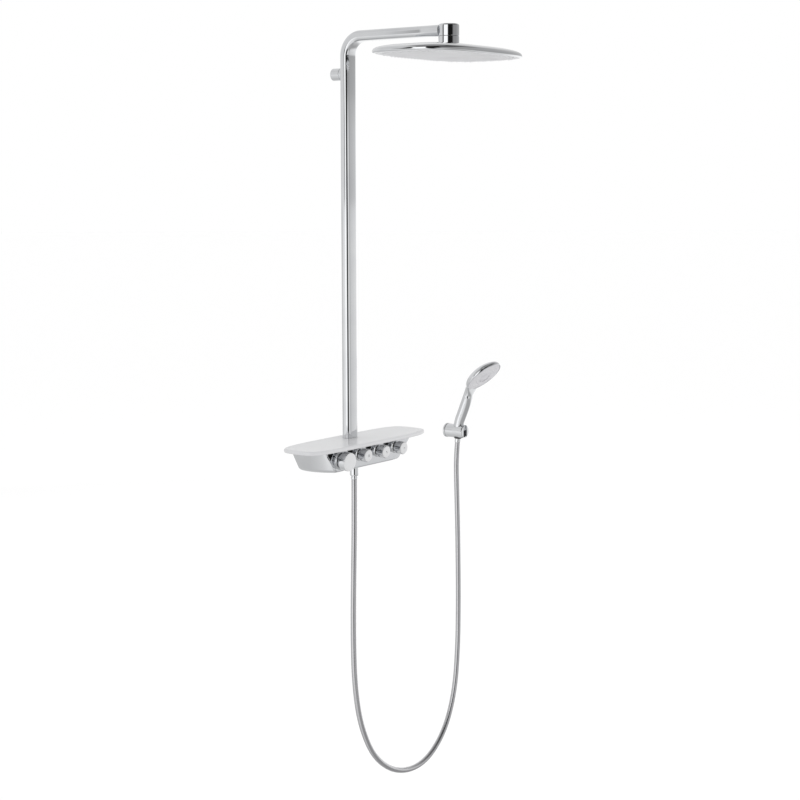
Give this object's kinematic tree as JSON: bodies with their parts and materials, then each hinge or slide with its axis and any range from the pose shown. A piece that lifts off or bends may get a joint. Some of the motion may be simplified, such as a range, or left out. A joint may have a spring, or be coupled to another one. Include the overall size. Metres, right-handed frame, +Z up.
{
  "type": "rainfall shower column",
  "caption": "Wall-mounted shower column: rectangular rain head on a bent riser, white shelf over a knobbed thermostatic mixer, with a hand shower on a wall holder and a hanging hose.",
  "frame": {"origin": "midway between the two wall inlets, on the wall plane", "axes": "+Y into the wall along the inlets, +Z up along the riser, X along the shelf"},
  "size_m": [0.6972, 0.4473, 1.7622],
  "materials": {
    "chrome": "mirror-bright chrome plate",
    "mirror_panel": "mirror-bright chrome plate, slightly darker",
    "tray_white": "moon-white, soft gloss",
    "cap_white": "white, satin gloss",
    "spray_white": "white, satin",
    "hose_metal": "smooth metallic grey, fine ribs",
    "brass": "machined brass",
    "steel": "plain steel",
    "rubber": "black rubber",
    "silicone": "pale grey silicone",
    "dark_plastic": "charcoal, satin gloss",
    "inner_plastic": "dark grey moulding"
  },
  "bodies": {
    "column": {"riser_pipe": "chrome", "bracket_sleeve": "chrome", "bracket_saddle": "chrome", "arm_end_housing": "chrome", "mixer_housing": "chrome", "knob_collars": "chrome", "hose_nut_lower": "chrome", "hose_ferrule_lower": "chrome", "holder_flange": "chrome", "shower_holder": "chrome", "front_panel": "mirror_panel", "shelf_tray": "tray_white", "hose": "hose_metal", "riser_foot": "brass", "valve_body": "brass", "valve_end_caps": "brass", "inlet_unions": "brass", "union_nuts": "brass", "swivel_spigot": "brass", "hose_nipple": "brass", "thermostatic_cartridge": "brass", "flow_cartridges": "brass", "bracket_anchor": "steel", "bracket_screw": "steel", "back_plate": "steel", "back_plate_screws": "steel", "holder_screws": "steel", "inlet_strainers": "steel", "riser_foot_seals": "rubber", "swivel_seals": "rubber", "inlet_washers": "rubber", "hose_washer_lower": "rubber", "check_valves": "inner_plastic", "holder_wall_plate": "inner_plastic"},
    "temperature_knob": {"temperature_knob": "chrome", "temperature_cap": "cap_white", "temperature_spindle": "brass"},
    "flow_knob_1": {"flow_knob_1": "chrome", "flow_spindle_1": "brass"},
    "flow_knob_2": {"flow_knob_2": "chrome", "flow_spindle_2": "brass"},
    "flow_knob_3": {"flow_knob_3": "chrome", "flow_spindle_3": "brass"},
    "push_button_1": {"push_button_1": "cap_white"},
    "push_button_2": {"push_button_2": "cap_white"},
    "push_button_3": {"push_button_3": "cap_white"},
    "head_shower": {"swivel_collar": "chrome", "head_top_shell": "chrome", "head_inlet_boss": "brass", "head_distributor": "inner_plastic", "head_nozzle_mat": "silicone", "head_seal": "rubber", "head_spray_face": "spray_white", "head_screws": "steel"},
    "hand_shower": {"hand_shower_body": "chrome", "handset_water_tube": "inner_plastic", "handset_spray_face": "spray_white", "hose_nut_upper": "dark_plastic", "hose_washer_upper": "rubber"},
    "spray_selector": {"spray_selector": "spray_white"}
  },
  "joints": [
    {"name": "temperature_turn", "type": "hinge", "parent": "column", "child": "temperature_knob", "pos_m": [-0.09855, -0.09399, -0.0016], "axis": [0, -0.9967, -0.0814], "range_deg": [-150, 120]},
    {"name": "flow_turn_1", "type": "hinge", "parent": "column", "child": "flow_knob_1", "pos_m": [-0.03285, -0.09442, 0.0037], "axis": [0, -0.9967, -0.0814], "range_deg": [-135, 135]},
    {"name": "flow_turn_2", "type": "hinge", "parent": "column", "child": "flow_knob_2", "pos_m": [0.03285, -0.09442, 0.0037], "axis": [0, -0.9967, -0.0814], "range_deg": [-135, 135]},
    {"name": "flow_turn_3", "type": "hinge", "parent": "column", "child": "flow_knob_3", "pos_m": [0.09855, -0.09442, 0.0037], "axis": [0, -0.9967, -0.0814], "range_deg": [-135, 135]},
    {"name": "button_press_1", "type": "slide", "parent": "flow_knob_1", "child": "push_button_1", "axis": [0, 0.9967, 0.0814], "range_m": [0, 0.003], "stiffness_N_per_m": 500},
    {"name": "button_press_2", "type": "slide", "parent": "flow_knob_2", "child": "push_button_2", "axis": [0, 0.9967, 0.0814], "range_m": [0, 0.003], "stiffness_N_per_m": 500},
    {"name": "button_press_3", "type": "slide", "parent": "flow_knob_3", "child": "push_button_3", "axis": [0, 0.9967, 0.0814], "range_m": [0, 0.003], "stiffness_N_per_m": 500},
    {"name": "head_swivel", "type": "hinge", "parent": "column", "child": "head_shower", "pos_m": [0, -0.312, 0.909], "axis": [0, 0, 1], "range_deg": [-90, 90]},
    {"name": "hand_shower_lift", "type": "slide", "parent": "column", "child": "hand_shower", "axis": [0, -0.0872, 0.9962], "range_m": [0, 0.08]},
    {"name": "selector_turn", "type": "hinge", "parent": "hand_shower", "child": "spray_selector", "pos_m": [0.436, -0.1126, 0.1318], "axis": [0, -0.6884, -0.7254], "range_deg": [-45, 45]}
  ]
}
